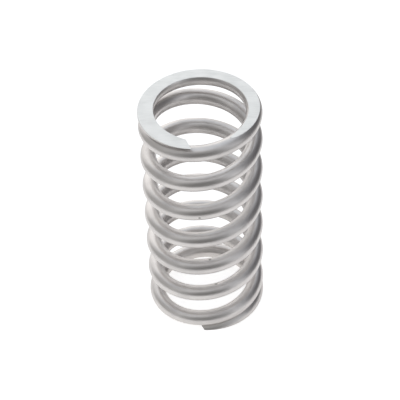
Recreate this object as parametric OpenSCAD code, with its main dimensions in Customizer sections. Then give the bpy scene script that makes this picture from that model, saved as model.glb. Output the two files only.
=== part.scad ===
/* [Wire] */
// Diameter of the round wire
wire_d = 3.35; // [1.5:0.05:5]
// Gap between the tip of an end coil and the coil that it lies along
touch_gap = 0.1; // [0.05:0.05:0.5]

/* [Coil] */
// Outside diameter of the coil
outer_d = 25.5; // [18:0.5:60]
// Free length from one ground face to the other
free_length = 54; // [42:1:90]
// Turns of wire from tip to tip, counting both end coils
turns = 7.985; // [6:0.005:11]
// Direction of the bottom tip, in degrees anticlockwise from +X
tip_azimuth = -98; // [-180:1:180]

/* [Closed ends] */
// Thickness of wire that grinding leaves at each tip
tip_thickness = 0.75; // [0.3:0.05:1.5]
// Rise of the flat part of an end coil, for each turn
closed_pitch = 0.5; // [0:0.05:1.5]
// Turns over which the pitch opens from closed to full
opening_turns = 0.5; // [0.3:0.05:0.8]
// Turns over which the slope of the tip flattens out
tip_turns = 0.5; // [0.3:0.05:0.8]
// Angle of the sheared wire end, off a straight cut across the wire
cut_skew = 33; // [0:1:40]

/* [Smoothness] */
// Sides around the wire
wire_sides = 16; // [12:2:16]
// Cross-sections of wire in each turn
turn_sections = 44; // [32:1:44]

/* [Hidden] */

wire_r = wire_d / 2;
// Radius of the wire's centre line
coil_r = outer_d / 2 - wire_r;
// Centre distance of the tip and the coil that it lies along
tip_step = wire_d + touch_gap;
// Height of the wire's centre at the tip, measured inwards from the ground face
tip_height = tip_thickness - wire_r;
half_turns = turns / 2;
half_rise = free_length / 2 - tip_height;

// Smooth step from 0 to 1, and its running sum
function smooth(x) = let (c = min(max(x, 0), 1)) c * c * (3 - 2 * c);
function smooth_sum(x) = x <= 0 ? 0 : x >= 1 ? x - 1 / 2 : pow(x, 3) - pow(x, 4) / 2;

// Pitch of an end coil at s turns from its tip, as a share between closed (0) and full (1).
// The pitch opens from the turn named in start. The tip has the slope of the coil next to it.
function tip_share(start) = smooth((1 - start) / opening_turns);
function open_share(s, start) =
    smooth((s - start) / opening_turns) + tip_share(start) * (1 - smooth(s / tip_turns));

// Turns of full pitch that are held between the tip and s
function open_sum(s, start) =
    opening_turns * smooth_sum((s - start) / opening_turns)
    + tip_share(start) * (s - tip_turns * smooth_sum(s / tip_turns));

// Full pitch that brings both halves of the coil to the free length
function pitch_for(start) =
    let (open = open_sum(half_turns, start))
    (half_rise - closed_pitch * (half_turns - open)) / open;

// Rise of the first turn from the tip
function first_rise(start) =
    closed_pitch + (pitch_for(start) - closed_pitch) * open_sum(1, start);

// Halves a range of turns until the first turn rises by just tip_step
function find_start(low, high, halvings) =
    let (middle = (low + high) / 2)
    halvings == 0 ? middle
    : first_rise(middle) > tip_step ? find_start(middle, high, halvings - 1)
    : find_start(low, middle, halvings - 1);

open_start = find_start(0, 1, 30);
full_pitch = pitch_for(open_start);

// Height of the wire's centre over the nearer ground face, at s turns from that tip
function end_height(s) =
    tip_height + closed_pitch * s + (full_pitch - closed_pitch) * open_sum(s, open_start);

// Turns from the nearer tip, height and lead angle of the centre line, at t turns from the bottom tip
function from_tip(t) = min(t, turns - t);
function height(t) = t < half_turns ? end_height(t) : free_length - end_height(turns - t);
function pitch(t) =
    closed_pitch + (full_pitch - closed_pitch) * open_share(from_tip(t), open_start);
function lead(t) = atan(pitch(t) / (2 * PI * coil_r));

// Turns over which the cross-section swings to the sheared end, kept long enough not to fold
skew_turns = 3 * wire_r * tan(max(cut_skew, 1)) / (2 * PI * (coil_r - wire_r));
function skew(t) = tan(cut_skew) * max(0, 1 - from_tip(t) / skew_turns);

// Point on the wire's surface at t turns, with phi measured from outwards towards the top
function wire_point(t, phi) =
    let (
        out = wire_r * cos(phi),
        up = wire_r * sin(phi),
        along = skew(t) * out,
        radial = coil_r + out,
        tangential = along * cos(lead(t)) - up * sin(lead(t)),
        azimuth = tip_azimuth + 360 * t
    )
    [
        radial * cos(azimuth) - tangential * sin(azimuth),
        radial * sin(azimuth) + tangential * cos(azimuth),
        height(t) + up * cos(lead(t)) + along * sin(lead(t))
    ];

// Solid swept from cross-sections with equal numbers of points, closed by a fan at each end
module swept_solid(sections, sides) {
    last = (len(sections) - 1) * sides;
    side_faces = [
        for (i = [0 : len(sections) - 2], j = [0 : sides - 1])
        let (
            a = i * sides + j,
            b = i * sides + (j + 1) % sides
        )
        each [[a, b, b + sides], [a, b + sides, a + sides]]
    ];
    bottom_fan = [for (j = [1 : sides - 2]) [0, j + 1, j]];
    top_fan = [for (j = [1 : sides - 2]) [last, last + j, last + j + 1]];
    polyhedron(
        points = [for (section = sections) each section],
        faces = concat(side_faces, bottom_fan, top_fan)
    );
}

// Whole length of wire before grinding
module wound_wire() {
    steps = ceil(turns * turn_sections);
    swept_solid(
        [
            for (i = [0 : steps])
            [for (j = [0 : wire_sides - 1]) wire_point(turns * i / steps, 360 * j / wire_sides)]
        ],
        wire_sides
    );
}

// Space between the two grinding planes
module free_space() {
    translate([-outer_d, -outer_d, 0])
    cube([2 * outer_d, 2 * outer_d, free_length]);
}

// Right-hand compression spring with closed and ground ends
module coil_spring() {
    color([0.72, 0.71, 0.70])
    intersection() {
        wound_wire();
        free_space();
    }
}

coil_spring();
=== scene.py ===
"""Blender looks of a compression spring with closed and ground ends.

The wire is drawn straight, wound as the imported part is, sheared off and ground flat. It gets three
finishes: drawn wire, ground face and sheared end. It stands in a plain pale studio.
"""

import logging
import math
from dataclasses import dataclass, field
from enum import Enum

import bmesh
import bpy
from mathutils import Matrix, Vector

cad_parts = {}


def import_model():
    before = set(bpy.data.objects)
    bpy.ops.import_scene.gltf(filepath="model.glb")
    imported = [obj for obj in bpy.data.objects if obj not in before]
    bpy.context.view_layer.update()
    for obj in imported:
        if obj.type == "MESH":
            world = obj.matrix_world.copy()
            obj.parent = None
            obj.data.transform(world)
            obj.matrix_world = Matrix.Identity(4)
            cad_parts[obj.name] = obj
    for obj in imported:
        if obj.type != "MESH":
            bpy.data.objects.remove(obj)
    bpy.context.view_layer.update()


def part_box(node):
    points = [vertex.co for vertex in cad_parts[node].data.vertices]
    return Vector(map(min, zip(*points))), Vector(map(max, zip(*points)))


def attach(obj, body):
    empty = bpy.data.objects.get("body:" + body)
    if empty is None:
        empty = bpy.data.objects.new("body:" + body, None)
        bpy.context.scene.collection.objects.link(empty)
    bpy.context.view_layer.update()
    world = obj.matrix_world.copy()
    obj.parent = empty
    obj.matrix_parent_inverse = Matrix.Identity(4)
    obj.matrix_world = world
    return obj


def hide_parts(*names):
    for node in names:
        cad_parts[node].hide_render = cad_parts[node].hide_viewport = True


LOG = logging.getLogger("spring")
MM = 0.001
# Mesh attribute that keeps each point's place on the straight wire
WIRE_PLACE = "straight_wire"

# Red, green, blue and alpha
Color = tuple[float, float, float, float]
# Start and end of a range
Span = tuple[float, float]
# What a socket takes: the output of another node, a number, or a tuple of numbers
Feed = bpy.types.NodeSocket | float | tuple[float, ...]


class Surface(Enum):
    """The surfaces of the spring, in the order of the piece's material slots."""

    DRAWN_WIRE = 0
    GROUND_FACE = 1
    SHEARED_END = 2


def smooth_step(x: float) -> float:
    """Eases from 0 to 1.

    Args:
        x: Place on the step, from 0 to 1.

    Returns:
        The eased share.
    """
    c = min(max(x, 0.0), 1.0)
    return c * c * (3 - 2 * c)


def smooth_step_sum(x: float) -> float:
    """Running sum of smooth_step.

    Args:
        x: Place on the step, from 0 to 1.

    Returns:
        The sum of the step up to x.
    """
    if x <= 0:
        return 0.0
    if x >= 1:
        return x - 0.5
    return x**3 - x**4 / 2


@dataclass
class Winding:
    """Centre line of the wire: closed end coils that open to an even pitch between them.

    Attributes:
        free_length: Height from one ground face to the other.
        outer_d: Outside diameter of the coil.
        wire_d: Diameter of the round wire.
        touch_gap: Gap between the tip of an end coil and the coil that it lies along.
        turns: Turns of wire from tip to tip.
        tip_azimuth: Direction of the bottom tip, anticlockwise from +X.
        tip_thickness: Thickness of wire that grinding leaves at each tip.
        closed_pitch: Rise of the flat part of an end coil, for each turn.
        opening_turns: Turns over which the pitch opens from closed to full.
        tip_turns: Turns over which the slope of the tip flattens out.
        cut_skew: Angle of the sheared wire end, off a straight cut across the wire.
        skew_spread: How many times its own offset the slant takes to ease out, on the wire's inner side.
        halvings: Steps of the search for open_start.
        open_start: Turn from which the pitch opens.
        full_pitch: Rise of a full turn.
    """

    free_length: float
    outer_d: float = 25.5 * MM
    wire_d: float = 3.35 * MM
    touch_gap: float = 0.1 * MM
    turns: float = 7.985
    tip_azimuth: float = math.radians(-98)
    tip_thickness: float = 0.75 * MM
    closed_pitch: float = 0.5 * MM
    opening_turns: float = 0.5
    tip_turns: float = 0.5
    cut_skew: float = math.radians(33)
    skew_spread: float = 3.0
    halvings: int = 30
    open_start: float = field(init=False)
    full_pitch: float = field(init=False)

    def __post_init__(self) -> None:
        """Finds where the pitch opens, so that each tip lies along the coil next to it."""
        low, high = 0.0, 1.0
        for _ in range(self.halvings):
            middle = (low + high) / 2
            if self.first_rise(middle) > self.wire_d + self.touch_gap:
                low = middle
            else:
                high = middle
        self.open_start = (low + high) / 2
        self.full_pitch = self.pitch_for(self.open_start)

    @property
    def wire_r(self) -> float:
        """Radius of the wire."""
        return self.wire_d / 2

    @property
    def coil_r(self) -> float:
        """Radius of the centre line."""
        return self.outer_d / 2 - self.wire_r

    @property
    def wire_length(self) -> float:
        """Length of the wire along its centre line, seen from above."""
        return 2 * math.pi * self.coil_r * self.turns

    @property
    def tip_height(self) -> float:
        """Height of the wire's centre at its tip, measured inwards from the ground face."""
        return self.tip_thickness - self.wire_r

    def tip_share(self, start: float) -> float:
        """Share of the full pitch that the tip has, for a pitch that opens from start."""
        return smooth_step((1 - start) / self.opening_turns)

    def open_share(self, s: float, start: float) -> float:
        """Pitch of an end coil as a share between closed and full.

        Args:
            s: Turns from the tip.
            start: Turn from which the pitch opens.

        Returns:
            0 where the coil is closed, 1 where it has the full pitch.
        """
        opening = smooth_step((s - start) / self.opening_turns)
        return opening + self.tip_share(start) * (1 - smooth_step(s / self.tip_turns))

    def open_sum(self, s: float, start: float) -> float:
        """Turns of full pitch held between the tip and s.

        Args:
            s: Turns from the tip.
            start: Turn from which the pitch opens.

        Returns:
            The sum of open_share up to s.
        """
        opening = self.opening_turns * smooth_step_sum((s - start) / self.opening_turns)
        tip = s - self.tip_turns * smooth_step_sum(s / self.tip_turns)
        return opening + self.tip_share(start) * tip

    def pitch_for(self, start: float) -> float:
        """Full pitch that brings both halves of the coil to the free length.

        Args:
            start: Turn from which the pitch opens.

        Returns:
            Rise of a full turn.
        """
        half = self.turns / 2
        opened = self.open_sum(half, start)
        rise = self.free_length / 2 - self.tip_height
        return (rise - self.closed_pitch * (half - opened)) / opened

    def first_rise(self, start: float) -> float:
        """Rise of the first turn from the tip, for a pitch that opens from start."""
        opened = self.open_sum(1, start)
        return self.closed_pitch + (self.pitch_for(start) - self.closed_pitch) * opened

    def from_tip(self, t: float) -> float:
        """Turns from the nearer tip, at t turns from the bottom tip."""
        return max(min(t, self.turns - t), 0.0)

    def end_height(self, s: float) -> float:
        """Height of the wire's centre over the nearer ground face, at s turns from that tip."""
        opened = self.open_sum(s, self.open_start)
        return self.tip_height + self.closed_pitch * s + (self.full_pitch - self.closed_pitch) * opened

    def height(self, t: float) -> float:
        """Height of the wire's centre at t turns from the bottom tip."""
        if t < self.turns / 2:
            return self.end_height(t)
        return self.free_length - self.end_height(self.turns - t)

    def lead(self, t: float) -> float:
        """Lead angle of the centre line at t turns."""
        share = self.open_share(self.from_tip(t), self.open_start)
        pitch = self.closed_pitch + (self.full_pitch - self.closed_pitch) * share
        return math.atan(pitch / (2 * math.pi * self.coil_r))

    def azimuth(self, t: float) -> float:
        """Direction from the coil's axis to the wire at t turns."""
        return self.tip_azimuth + 2 * math.pi * t

    def skew(self, t: float) -> float:
        """Slant of the cross-section at t turns, which swings to the sheared end at each tip."""
        inner_turn = 2 * math.pi * (self.coil_r - self.wire_r)
        skew_turns = self.skew_spread * self.wire_r * math.tan(self.cut_skew) / inner_turn
        return math.tan(self.cut_skew) * max(0.0, 1 - self.from_tip(t) / skew_turns)

    def section(self, t: float) -> Matrix:
        """Places an upright cross-section of the wire.

        Args:
            t: Turns from the bottom tip.

        Returns:
            Matrix that takes a section to its place on the coil. The section is drawn with X outwards,
            Y along the wire and Z upwards.
        """
        slant = Matrix.Identity(4)
        slant[1][0] = self.skew(t)
        lean = Matrix.Rotation(self.lead(t), 4, "X")
        out = Matrix.Translation((self.coil_r, 0, 0))
        turn = Matrix.Rotation(self.azimuth(t), 4, "Z")
        rise = Matrix.Translation((0, 0, self.height(t)))
        return rise @ turn @ out @ lean @ slant


@dataclass(frozen=True)
class Grain:
    """A noise pattern.

    Attributes:
        fineness: Grains in a metre along the three directions of the place that it follows.
        layers: Number of finer layers of noise.
    """

    fineness: tuple[float, float, float]
    layers: int


@dataclass(frozen=True)
class Nick:
    """A small dark nick in the wire.

    Attributes:
        turn: Turns from the bottom tip.
        side: Degrees round the wire, from outwards towards the top.
        length: Length along the wire.
        width: Width across the wire.
    """

    turn: float
    side: float
    length: float
    width: float

    def middle(self, winding: Winding) -> tuple[float, float, float]:
        """Middle of the nick on the straight wire."""
        side = math.radians(self.side)
        out, up = winding.wire_r * math.cos(side), winding.wire_r * math.sin(side)
        return (out, winding.wire_length * self.turn / winding.turns, up)

    def half_size(self) -> tuple[float, float, float]:
        """Half of the nick's size on the straight wire."""
        return (self.width / 2, self.length / 2, self.width / 2)


class NodeBoard:
    """Lays out the nodes of one material or world."""

    def __init__(self, tree: bpy.types.NodeTree) -> None:
        """Clears the tree.

        Args:
            tree: Node tree of the material or world.
        """
        self.tree = tree
        tree.nodes.clear()

    def node(self, kind: str, **settings: object) -> bpy.types.Node:
        """Adds a node.

        Args:
            kind: Blender's name of the node type, without its ShaderNode prefix.
            settings: Values of the node's own properties.

        Returns:
            The new node.
        """
        made = self.tree.nodes.new("ShaderNode" + kind)
        for name, value in settings.items():
            setattr(made, name, value)
        return made

    def feed(self, socket: bpy.types.NodeSocket, value: Feed) -> None:
        """Links an output to a socket, or sets the socket to a plain value.

        Args:
            socket: Input socket.
            value: Output socket, number, or tuple of numbers.
        """
        if isinstance(value, bpy.types.NodeSocket):
            self.tree.links.new(value, socket)
        else:
            socket.default_value = value

    def math(self, operation: str, *values: Feed) -> bpy.types.NodeSocket:
        """Adds a Math node.

        Args:
            operation: Blender's name of the operation.
            values: Its inputs, in order.

        Returns:
            The result socket.
        """
        made = self.node("Math", operation=operation)
        for socket, value in zip(made.inputs, values):
            self.feed(socket, value)
        return made.outputs[0]

    def vector(self, operation: str, *values: Feed) -> bpy.types.Node:
        """Adds a Vector Math node.

        Args:
            operation: Blender's name of the operation.
            values: Its inputs, in order.

        Returns:
            The node, whose outputs are Vector and Value.
        """
        made = self.node("VectorMath", operation=operation)
        for socket, value in zip(made.inputs, values):
            self.feed(socket, value)
        return made

    def ramp(self, value: Feed, span: Span, levels: Span = (0.0, 1.0)) -> bpy.types.NodeSocket:
        """Eases a value from one level to another.

        Args:
            value: Socket to read.
            span: Values at which the ramp starts and ends.
            levels: Results at its start and at its end.

        Returns:
            The result socket.
        """
        made = self.node("MapRange", interpolation_type="SMOOTHSTEP")
        for socket, number in zip(made.inputs, (value, *span, *levels)):
            self.feed(socket, number)
        return made.outputs[0]

    def blend(self, share: Feed, first: Feed, second: Feed) -> bpy.types.NodeSocket:
        """Mixes two colours.

        Args:
            share: Share of the second colour.
            first: First colour.
            second: Second colour.

        Returns:
            The colour socket.
        """
        made = self.node("Mix", data_type="RGBA")
        self.feed(made.inputs["Factor"], share)
        self.feed(made.inputs[6], first)
        self.feed(made.inputs[7], second)
        return made.outputs[2]

    def noise(self, place: Feed, grain: Grain) -> bpy.types.NodeSocket:
        """Adds a noise pattern.

        Args:
            place: Vector socket that the pattern follows, in metres.
            grain: Fineness and layers of the pattern.

        Returns:
            Socket of the noise, from 0 to 1.
        """
        mapping = self.node("Mapping")
        self.feed(mapping.inputs["Vector"], place)
        self.feed(mapping.inputs["Scale"], grain.fineness)
        made = self.node("TexNoise")
        self.feed(made.inputs["Vector"], mapping.outputs[0])
        self.feed(made.inputs["Scale"], 1.0)
        self.feed(made.inputs["Detail"], grain.layers)
        return made.outputs["Fac"]

    def bump(self, height: Feed, depth: float, below: Feed | None = None) -> bpy.types.NodeSocket:
        """Adds a bump.

        Args:
            height: Socket of the height, as a share of the depth.
            depth: Depth of the relief, in metres.
            below: Normal socket that this bump lies on.

        Returns:
            The normal socket.
        """
        made = self.node("Bump")
        self.feed(made.inputs["Distance"], depth)
        self.feed(made.inputs["Height"], height)
        if below is not None:
            self.feed(made.inputs["Normal"], below)
        return made.outputs[0]

    def metal(self, colour: Feed, roughness: Feed, normal: Feed) -> None:
        """Ends a material as bare metal.

        Args:
            colour: Colour of the metal.
            roughness: Roughness of its surface.
            normal: Normal socket of its relief.
        """
        shader = self.node("BsdfPrincipled")
        self.feed(shader.inputs["Metallic"], 1.0)
        self.feed(shader.inputs["Base Color"], colour)
        self.feed(shader.inputs["Roughness"], roughness)
        self.feed(shader.inputs["Normal"], normal)
        self.feed(self.node("OutputMaterial").inputs["Surface"], shader.outputs[0])


def blank_material(name: str) -> tuple[bpy.types.Material, NodeBoard]:
    """Starts a material.

    Args:
        name: Name of the material.

    Returns:
        The material and the empty board of its nodes.
    """
    material = bpy.data.materials.new(name)
    material.use_nodes = True
    return material, NodeBoard(material.node_tree)


def link_mesh(name: str, bm: bmesh.types.BMesh) -> bpy.types.Object:
    """Makes an object of the scene from a bmesh, and frees the bmesh.

    Args:
        name: Name of the object and of its mesh.
        bm: Shape of the object, in its place.

    Returns:
        The object, at the origin.
    """
    mesh = bpy.data.meshes.new(name)
    bm.to_mesh(mesh)
    bm.free()
    made = bpy.data.objects.new(name, mesh)
    bpy.context.scene.collection.objects.link(made)
    return made


@dataclass(frozen=True)
class DrawnWireFinish:
    """Satin steel of a drawn and tumbled wire: fine lines along it, faint stains, and a few nicks.

    A dark strip of painted shade runs along the second and the last but one coil, on the side that faces
    the end coil, where the tip shades it. It starts where the tip lies along the coil.

    Attributes:
        name: Name of the material.
        bare: Colour of the clean wire.
        dull: Colour of the dull clouds.
        stain: Colour of the stain in the lines.
        roughness: Roughness of the smoothest and of the roughest spots.
        lines: Lines that drawing left along the wire.
        bands: Bands of the wire in which the lines hold stain.
        clouds: Dull clouds.
        dimples: Shallow dimples from tumbling.
        pits: Fine pits.
        dull_clouds: Noise of the clouds from which they are dull, and at which they are fully so.
        stained_lines: Noise of the lines from which they hold stain, and at which they hold the most.
        stained_bands: Noise of the bands from which lines hold stain, and at which they hold the most.
        stain_share: Share of stain in the colour where there is the most.
        rough_spots: Noise of lines and clouds together in the smoothest and in the roughest spots.
        line_depth: Depth of the lines.
        dimple_depth: Depth of the dimples.
        pit_depth: Depth of the pits.
        contact_shade_color: Colour of the dark strips of painted shade.
        strip_flank: Height on the wire from which a strip shows, as a share of the wire's radius.
        strip_crest: Height on the wire at which it is fully dark, as a share of the wire's radius.
        strip_lead: Length of wire in front of the tip over which a strip starts.
        strip_solid: Length of wire past the tip to where a strip starts to fade.
        strip_length: Length of wire past the tip to where it ends.
        nick_color: Colour of the nicks.
        nick_depth: Depth of the nicks.
        nick_rim: Inner and outer rim of a nick, in half sizes, with the noise of the pits added.
        nicks: The nicks.
    """

    name: str = "drawn_spring_wire"
    bare: Color = (0.755, 0.73, 0.717, 1)
    dull: Color = (0.69, 0.668, 0.658, 1)
    stain: Color = (0.61, 0.58, 0.56, 1)
    roughness: Span = (0.32, 0.41)
    lines: Grain = Grain((7000, 130, 7000), 3)
    bands: Grain = Grain((450, 30, 450), 2)
    clouds: Grain = Grain((220, 220, 220), 3)
    dimples: Grain = Grain((1500, 1500, 1500), 1)
    pits: Grain = Grain((5200, 5200, 5200), 2)
    dull_clouds: Span = (0.38, 0.66)
    stained_lines: Span = (0.52, 0.8)
    stained_bands: Span = (0.4, 0.7)
    stain_share: float = 0.55
    rough_spots: Span = (0.75, 1.3)
    line_depth: float = 0.003 * MM
    dimple_depth: float = 0.012 * MM
    pit_depth: float = 0.004 * MM
    contact_shade_color: Color = (0.56, 0.54, 0.53, 1)
    strip_flank: float = 0.8
    strip_crest: float = 0.88
    strip_lead: float = 0.3 * MM
    strip_solid: float = 7 * MM
    strip_length: float = 14 * MM
    nick_color: Color = (0.34, 0.33, 0.32, 1)
    nick_depth: float = 0.025 * MM
    nick_rim: Span = (1.1, 1.9)
    nicks: tuple[Nick, ...] = (
        Nick(turn=5.01, side=357, length=0.44 * MM, width=0.5 * MM),
        Nick(turn=3.0375, side=97, length=0.56 * MM, width=0.52 * MM),
        Nick(turn=2.055, side=104, length=0.66 * MM, width=0.5 * MM),
        Nick(turn=1.58, side=15, length=0.5 * MM, width=0.3 * MM),
        Nick(turn=4.42, side=340, length=0.36 * MM, width=0.32 * MM),
        Nick(turn=6.31, side=20, length=0.44 * MM, width=0.3 * MM),
    )

    def nicked(self, board: NodeBoard, along: Feed, pits: Feed, winding: Winding) -> Feed:
        """Marks where the nicks are.

        Args:
            board: Board of the material.
            along: Socket of the place on the straight wire.
            pits: Socket of a fine noise that roughens the rims of the nicks.
            winding: Winding of the wire.

        Returns:
            Socket that is 1 inside a nick and 0 outside it.
        """
        share = 0.0
        for nick in self.nicks:
            offset = board.vector("SUBTRACT", along, nick.middle(winding)).outputs["Vector"]
            scaled = board.vector("DIVIDE", offset, nick.half_size()).outputs["Vector"]
            reach = board.vector("LENGTH", scaled).outputs["Value"]
            inside = board.ramp(board.math("ADD", reach, pits), self.nick_rim, (1.0, 0.0))
            share = board.math("MAXIMUM", inside, share)
        return share

    def painted_contact_shade(self, board: NodeBoard, along: Feed, winding: Winding) -> Feed:
        """Marks the painted shade on the second and last but one coils, in dark strips where the tips
        lie along them.

        Args:
            board: Board of the material.
            along: Socket of the place on the straight wire.
            winding: Winding of the wire.

        Returns:
            Socket that is 1 inside a strip and 0 outside it.
        """
        split = board.node("SeparateXYZ")
        board.feed(split.inputs[0], along)
        turn_length = winding.wire_length / winding.turns
        rise = (self.strip_flank * winding.wire_r, self.strip_crest * winding.wire_r)
        share = 0.0
        for up, tip in ((-1, turn_length), (1, winding.wire_length - turn_length)):
            height = board.math("MULTIPLY", split.outputs["Z"], up)
            behind = board.math("MULTIPLY", board.math("SUBTRACT", tip, split.outputs["Y"]), up)
            over = board.ramp(height, rise)
            begun = board.ramp(behind, (-self.strip_lead, 0.0))
            going = board.ramp(behind, (self.strip_solid, self.strip_length), (1.0, 0.0))
            strip = board.math("MULTIPLY", over, board.math("MULTIPLY", begun, going))
            share = board.math("MAXIMUM", strip, share)
        return share

    def tarnish(self, board: NodeBoard, along: Feed, lines: Feed, clouds: Feed) -> Feed:
        """Colours the wire between its nicks and strips.

        Args:
            board: Board of the material.
            along: Socket of the place on the straight wire.
            lines: Socket of the drawing lines.
            clouds: Socket of the dull clouds.

        Returns:
            The colour socket.
        """
        colour = board.blend(board.ramp(clouds, self.dull_clouds), self.bare, self.dull)
        stained = board.ramp(lines, self.stained_lines, (0.0, self.stain_share))
        banded = board.ramp(board.noise(along, self.bands), self.stained_bands)
        return board.blend(board.math("MULTIPLY", stained, banded), colour, self.stain)

    def build(self, winding: Winding) -> bpy.types.Material:
        """Builds the finish on each point's place on the straight wire, in metres.

        Args:
            winding: Winding of the wire.

        Returns:
            The material.
        """
        material, board = blank_material(self.name)
        along = board.node("Attribute", attribute_name=WIRE_PLACE).outputs["Vector"]
        place = board.node("TexCoord").outputs["Object"]
        lines = board.noise(along, self.lines)
        clouds = board.noise(place, self.clouds)
        dimples = board.noise(place, self.dimples)
        pits = board.noise(place, self.pits)
        nicked = self.nicked(board, along, pits, winding)
        colour = self.tarnish(board, along, lines, clouds)
        # Painted shade where each tip lies along the next coil and shades it
        colour = board.blend(self.painted_contact_shade(board, along, winding), colour, self.contact_shade_color)
        colour = board.blend(nicked, colour, self.nick_color)
        roughness = board.ramp(board.math("ADD", lines, clouds), self.rough_spots, self.roughness)
        normal = board.bump(lines, self.line_depth)
        normal = board.bump(dimples, self.dimple_depth, normal)
        normal = board.bump(pits, self.pit_depth, normal)
        normal = board.bump(board.math("SUBTRACT", 1.0, nicked), self.nick_depth, normal)
        board.metal(colour, roughness, normal)
        return material


@dataclass(frozen=True)
class GroundFaceFinish:
    """Matt pale steel of a ground seat, with fine scratches that all run one way across the spring.

    Attributes:
        name: Name of the material.
        bare: Colour of the clean face.
        scratched: Colour of the deepest scratches.
        roughness: Roughness of the smoothest and of the roughest spots.
        scratches: Scratches that the grinding wheel left.
        clouds: Uneven spots of the face.
        deep_scratches: Noise of the scratches from which they show, and at which they show most.
        rough_spots: Noise of scratches and clouds together in the smoothest and in the roughest spots.
        scratch_depth: Depth of the scratches.
    """

    name: str = "ground_seat"
    bare: Color = (0.9, 0.908, 0.898, 1)
    scratched: Color = (0.84, 0.848, 0.838, 1)
    roughness: Span = (0.42, 0.58)
    scratches: Grain = Grain((420, 9000, 420), 3)
    clouds: Grain = Grain((300, 300, 300), 2)
    deep_scratches: Span = (0.45, 0.75)
    rough_spots: Span = (0.7, 1.3)
    scratch_depth: float = 0.003 * MM

    def build(self) -> bpy.types.Material:
        """Builds the finish on Object coordinates.

        Returns:
            The material.
        """
        material, board = blank_material(self.name)
        place = board.node("TexCoord").outputs["Object"]
        scratches = board.noise(place, self.scratches)
        clouds = board.noise(place, self.clouds)
        colour = board.blend(board.ramp(scratches, self.deep_scratches), self.bare, self.scratched)
        roughness = board.ramp(board.math("ADD", scratches, clouds), self.rough_spots, self.roughness)
        board.metal(colour, roughness, board.bump(scratches, self.scratch_depth))
        return material


@dataclass(frozen=True)
class ShearedEndFinish:
    """Dull torn steel of a sheared wire end, ribbed up and down.

    Attributes:
        name: Name of the material.
        bare: Colour between the ribs.
        torn: Colour of the torn ribs.
        roughness: Roughness all over.
        ribs: Ribs that the shear left.
        torn_ribs: Noise of the ribs from which they are torn, and at which they are fully so.
        rib_depth: Depth of the ribs.
    """

    name: str = "sheared_wire_end"
    bare: Color = (0.36, 0.35, 0.34, 1)
    torn: Color = (0.20, 0.19, 0.185, 1)
    roughness: float = 0.55
    ribs: Grain = Grain((3600, 3600, 500), 3)
    torn_ribs: Span = (0.4, 0.65)
    rib_depth: float = 0.02 * MM

    def build(self) -> bpy.types.Material:
        """Builds the finish on Object coordinates.

        Returns:
            The material.
        """
        material, board = blank_material(self.name)
        place = board.node("TexCoord").outputs["Object"]
        ribs = board.noise(place, self.ribs)
        colour = board.blend(board.ramp(ribs, self.torn_ribs), self.bare, self.torn)
        board.metal(colour, self.roughness, board.bump(ribs, self.rib_depth))
        return material


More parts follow.
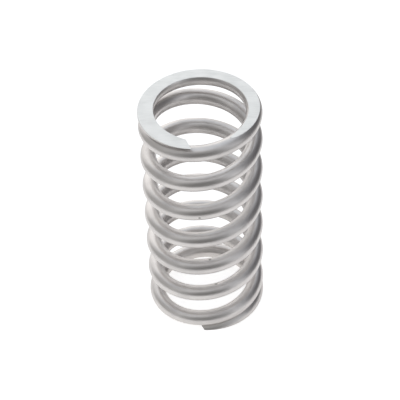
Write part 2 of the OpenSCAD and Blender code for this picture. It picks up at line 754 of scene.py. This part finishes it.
@dataclass
class CoilSpring:
    """The spring: one length of round wire, wound, sheared off and ground flat at both ends.

    Attributes:
        winding: Winding of the wire.
        sides: Sides around the wire.
        turn_sections: Cross-sections of wire in each turn.
        chamfer: Width and depth of the broken edge round each ground face.
        on_plane: Distance within which a point counts as lying on a grinding plane.
        name: Name of the piece.
    """

    winding: Winding
    sides: int = 48
    turn_sections: int = 128
    chamfer: float = 0.06 * MM
    on_plane: float = 0.00001 * MM
    name: str = "wound_wire"

    def straight(self, bm: bmesh.types.BMesh) -> None:
        """Draws the straight wire along Y, in even sections, and notes each point's place on it.

        Args:
            bm: Empty bmesh that gets the wire.
        """
        winding = self.winding
        upright = Matrix.Rotation(math.pi / 2, 4, "X")
        bmesh.ops.create_circle(bm, segments=self.sides, radius=winding.wire_r, matrix=upright)
        drawn = bmesh.ops.extrude_edge_only(bm, edges=bm.edges[:])["geom"]
        far_end = [item for item in drawn if isinstance(item, bmesh.types.BMVert)]
        bmesh.ops.translate(bm, vec=(0, winding.wire_length, 0), verts=far_end)
        runs = [edge for edge in bm.edges if edge.calc_length() > winding.wire_length / 2]
        steps = math.ceil(winding.turns * self.turn_sections)
        bmesh.ops.subdivide_edges(bm, edges=runs, cuts=steps - 1)
        place = bm.verts.layers.float_vector.new(WIRE_PLACE)
        for vert in bm.verts:
            vert[place] = vert.co
        for face in bm.faces:
            face.smooth = True

    def wind(self, bm: bmesh.types.BMesh) -> None:
        """Bends the straight wire round the coil.

        Args:
            bm: Bmesh that holds the straight wire.
        """
        winding = self.winding
        for vert in bm.verts:
            t = winding.turns * vert.co.y / winding.wire_length
            vert.co = winding.section(t) @ Vector((vert.co.x, 0, vert.co.z))

    def shear(self, bm: bmesh.types.BMesh) -> None:
        """Closes both ends of the wire with a flat sheared face.

        Args:
            bm: Bmesh that holds the open wire.
        """
        rims = [edge for edge in bm.edges if edge.is_boundary]
        caps = bmesh.ops.holes_fill(bm, edges=rims, sides=self.sides)["faces"]
        for cap in caps:
            cap.material_index = Surface.SHEARED_END.value
            cap.smooth = False
            for edge in cap.edges:
                edge.smooth = False

    def grind(self, bm: bmesh.types.BMesh, height: float, up: int) -> None:
        """Cuts one end flat and breaks the sharp edge of its ground face.

        Args:
            bm: Bmesh that holds the closed wire.
            height: Height of the cut, one chamfer inside the ground face.
            up: 1 at the top end, -1 at the bottom end.
        """
        cut = bmesh.ops.bisect_plane(
            bm,
            geom=bm.verts[:] + bm.edges[:] + bm.faces[:],
            dist=self.on_plane,
            plane_co=(0, 0, height),
            plane_no=(0, 0, up),
            clear_outer=True,
        )
        rim = [item for item in cut["geom_cut"] if isinstance(item, bmesh.types.BMEdge)]
        seat = bmesh.ops.contextual_create(bm, geom=rim)["faces"]
        bmesh.ops.recalc_face_normals(bm, faces=bm.faces[:])
        broken = bmesh.ops.inset_region(
            bm, faces=seat, thickness=self.chamfer, depth=self.chamfer, use_even_offset=True
        )["faces"]
        for face in seat + broken:
            face.material_index = Surface.GROUND_FACE.value
            face.smooth = False
        for edge in rim:
            edge.smooth = False
        LOG.info("ground face cut at %.2f mm: %d rim edges", height / MM, len(rim))

    def build(self) -> bpy.types.Object:
        """Builds the spring's mesh.

        Returns:
            The piece, in its place, without materials.
        """
        bm = bmesh.new()
        self.straight(bm)
        self.wind(bm)
        self.shear(bm)
        self.grind(bm, self.chamfer, -1)
        self.grind(bm, self.winding.free_length - self.chamfer, 1)
        bmesh.ops.recalc_face_normals(bm, faces=bm.faces[:])
        return link_mesh(self.name, bm)

    def dress(self, piece: bpy.types.Object) -> None:
        """Gives the piece its finishes, in the order of Surface.

        Args:
            piece: The spring.
        """
        piece.data.materials.append(DrawnWireFinish().build(self.winding))
        piece.data.materials.append(GroundFaceFinish().build())
        piece.data.materials.append(ShearedEndFinish().build())

    def mount(self, piece: bpy.types.Object) -> None:
        """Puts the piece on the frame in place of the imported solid.

        Args:
            piece: The spring.
        """
        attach(piece, "root")
        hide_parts("coil_spring")


class Tint(Enum):
    """Tints of the studio's light, as shares of red, green and blue."""

    WHITE = (1.0, 1.0, 1.0)
    WARM = (1.01, 1.0, 0.985)
    COOL = (0.95, 1.0, 1.06)
    FROST = (0.98, 1.0, 1.03)
    VIOLET = (1.02, 1.0, 1.07)
    PAPER = (1.02, 1.0, 0.975)

    def at(self, level: float) -> Color:
        """Colour of this tint at a level."""
        red, green, blue = self.value
        return (red * level, green * level, blue * level, 1)


@dataclass(frozen=True)
class Patch:
    """A soft round patch of the studio dome, such as a softbox or a black card.

    Attributes:
        azimuth: Degrees from the front, with 90 on the right.
        elevation: Degrees above the horizon.
        core: Degrees from its middle within which it has its full level.
        edge: Degrees from its middle at which it has faded out.
        level: Strength of its light.
        tint: Tint of its light.
    """

    azimuth: float
    elevation: float
    core: float
    edge: float
    level: float
    tint: Tint = Tint.WARM

    def axis(self) -> tuple[float, float, float]:
        """Direction from the spring to the middle of the patch."""
        az, el = math.radians(self.azimuth), math.radians(self.elevation)
        return (math.sin(az) * math.cos(el), -math.cos(az) * math.cos(el), math.sin(el))

    def over(self, board: NodeBoard, direction: Feed, below: Feed) -> bpy.types.NodeSocket:
        """Lays the patch over what the dome already has.

        Args:
            board: Board of the world's nodes.
            direction: Socket of the direction that is looked up.
            below: Colour without the patch.

        Returns:
            Socket of the colour with the patch.
        """
        facing = board.vector("DOT_PRODUCT", direction, self.axis()).outputs["Value"]
        fade = (math.cos(math.radians(self.edge)), math.cos(math.radians(self.core)))
        return board.blend(board.ramp(facing, fade), below, self.tint.at(self.level))


@dataclass
class Dome:
    """Soft studio light from all round: a plain dome with patches laid over it, in order.

    Attributes:
        name: Name of the world.
        level: Strength of the plain dome.
        patches: The patches, from the lowest to the topmost layer.
    """

    name: str = "studio"
    level: float = 0.41
    patches: tuple[Patch, ...] = (
        # Softbox overhead
        Patch(174, 77, 13, 55, 0.85, Tint.COOL),
        # Bright wall low behind
        Patch(196, 9, 2, 49, 1.29),
        # Small softbox at the back right
        Patch(133, 37, 14, 28, 1.59, Tint.COOL),
        # Softbox at the front right
        Patch(55, 29, 2, 39, 1.19, Tint.FROST),
        # Wide softbox at the front left
        Patch(337, 36, 17, 54, 0.82, Tint.WHITE),
        # Dark card low at the front
        Patch(353, 15, 11, 62, 0.18),
        # Black card on the right
        Patch(104, 27, 8, 59, 0.11, Tint.VIOLET),
    )

    def build(self) -> None:
        """Lights the world with the dome, and leaves it white where the camera sees it."""
        world = bpy.data.worlds.new(self.name)
        world.use_nodes = True
        bpy.context.scene.world = world
        board = NodeBoard(world.node_tree)
        direction = board.node("TexCoord").outputs["Generated"]
        glow = Tint.WARM.at(self.level)
        for patch in self.patches:
            glow = patch.over(board, direction, glow)
        lit = board.node("Background")
        board.feed(lit.inputs["Color"], glow)
        board.feed(lit.inputs["Strength"], 1.0)
        white = board.node("Background")
        board.feed(white.inputs["Color"], Tint.WHITE.at(1))
        board.feed(white.inputs["Strength"], 1.0)
        choice = board.node("MixShader")
        board.feed(choice.inputs[0], board.node("LightPath").outputs["Is Camera Ray"])
        board.feed(choice.inputs[1], lit.outputs[0])
        board.feed(choice.inputs[2], white.outputs[0])
        board.feed(board.node("OutputWorld").inputs["Surface"], choice.outputs[0])


@dataclass(frozen=True)
class PaperFinish:
    """Matt pale paper, which the camera sees white and the spring mirrors a little warmer.

    Attributes:
        name: Name of the material.
        level: Share of light that the paper scatters.
        camera_glow: Glow that the camera sees on top of that.
        mirror_glow: Glow that the spring mirrors on top of that.
    """

    name: str = "pale_floor"
    level: float = 0.8
    camera_glow: float = 0.7
    mirror_glow: float = 0.49

    def build(self) -> bpy.types.Material:
        """Builds the finish.

        Returns:
            The material.
        """
        material, board = blank_material(self.name)
        paper = board.node("BsdfDiffuse")
        board.feed(paper.inputs["Color"], Tint.WHITE.at(self.level))
        path = board.node("LightPath")
        seen, mirrored = path.outputs["Is Camera Ray"], path.outputs["Is Glossy Ray"]
        to_camera = board.math("MULTIPLY", seen, self.camera_glow)
        to_mirror = board.math("MULTIPLY", mirrored, self.mirror_glow)
        glow = board.node("Emission")
        board.feed(glow.inputs["Color"], board.blend(seen, Tint.PAPER.at(1), Tint.WHITE.at(1)))
        board.feed(glow.inputs["Strength"], board.math("ADD", to_camera, to_mirror))
        both = board.node("AddShader")
        board.feed(both.inputs[0], paper.outputs[0])
        board.feed(both.inputs[1], glow.outputs[0])
        board.feed(board.node("OutputMaterial").inputs["Surface"], both.outputs[0])
        return material


@dataclass
class Floor:
    """The plain pale floor, which keeps the spring's shadow.

    Attributes:
        radius: Radius of the floor.
        drop: Depth of the floor below the ground face that the spring stands on.
        sides: Sides of its rim.
        name: Name of the object.
    """

    radius: float = 160 * MM
    drop: float = 0.05 * MM
    sides: int = 96
    name: str = "floor"

    def build(self) -> bpy.types.Object:
        """Builds the floor's mesh.

        Returns:
            The floor, in its place, without material.
        """
        bm = bmesh.new()
        bmesh.ops.create_circle(bm, cap_ends=True, segments=self.sides, radius=self.radius)
        bmesh.ops.translate(bm, vec=(0, 0, -self.drop), verts=bm.verts[:])
        return link_mesh(self.name, bm)

    def dress(self, floor: bpy.types.Object) -> None:
        """Gives the floor its finish.

        Args:
            floor: The floor.
        """
        floor.data.materials.append(PaperFinish().build())


@dataclass
class Viewpoint:
    """The camera, at the photograph's angle.

    Attributes:
        look_at: Point at the middle of the frame, in metres.
        elevation: Angle of the camera above the horizon.
        roll: Turn of the camera about its own axis.
        distance: Distance from the camera to look_at.
        lens: Focal length, in millimetres.
        sensor: Width of the sensor, in millimetres.
        clip_start: Nearest distance that it sees.
    """

    look_at: Vector = field(default_factory=lambda: Vector((-0.7155, 0, 28.0444)) * MM)
    elevation: float = math.radians(44.2487)
    roll: float = math.radians(-2.4385)
    distance: float = 327.43 * MM
    lens: float = 137.647
    sensor: float = 36.0
    clip_start: float = 10 * MM

    def build(self) -> None:
        """Sets the camera up and makes it the scene's."""
        data = bpy.data.cameras.new("camera")
        data.lens = self.lens
        data.sensor_width = self.sensor
        data.clip_start = self.clip_start
        sin_e, cos_e = math.sin(self.elevation), math.cos(self.elevation)
        back = Vector((0, -cos_e, sin_e))
        level = Matrix(((1, 0, 0), (0, sin_e, -cos_e), (0, cos_e, sin_e)))
        turned = level @ Matrix.Rotation(self.roll, 3, "Z")
        camera = bpy.data.objects.new("camera", data)
        camera.matrix_world = Matrix.Translation(self.look_at + back * self.distance) @ turned.to_4x4()
        bpy.context.scene.collection.objects.link(camera)
        bpy.context.scene.camera = camera


def main() -> None:
    """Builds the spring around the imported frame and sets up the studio."""
    logging.basicConfig(level=logging.INFO, format="%(name)s: %(message)s")
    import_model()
    low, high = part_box("coil_spring")
    LOG.info("frame box %s to %s", low, high)
    spring = CoilSpring(Winding(free_length=high.z - low.z))
    piece = spring.build()
    spring.dress(piece)
    spring.mount(piece)
    LOG.info("%s: %d faces", piece.name, len(piece.data.polygons))
    floor = Floor()
    paper = floor.build()
    floor.dress(paper)
    LOG.info("%s: %d faces", paper.name, len(paper.data.polygons))
    Dome().build()
    Viewpoint().build()
    bpy.context.scene.view_settings.view_transform = "Standard"


if __name__ == "__main__":
    main()
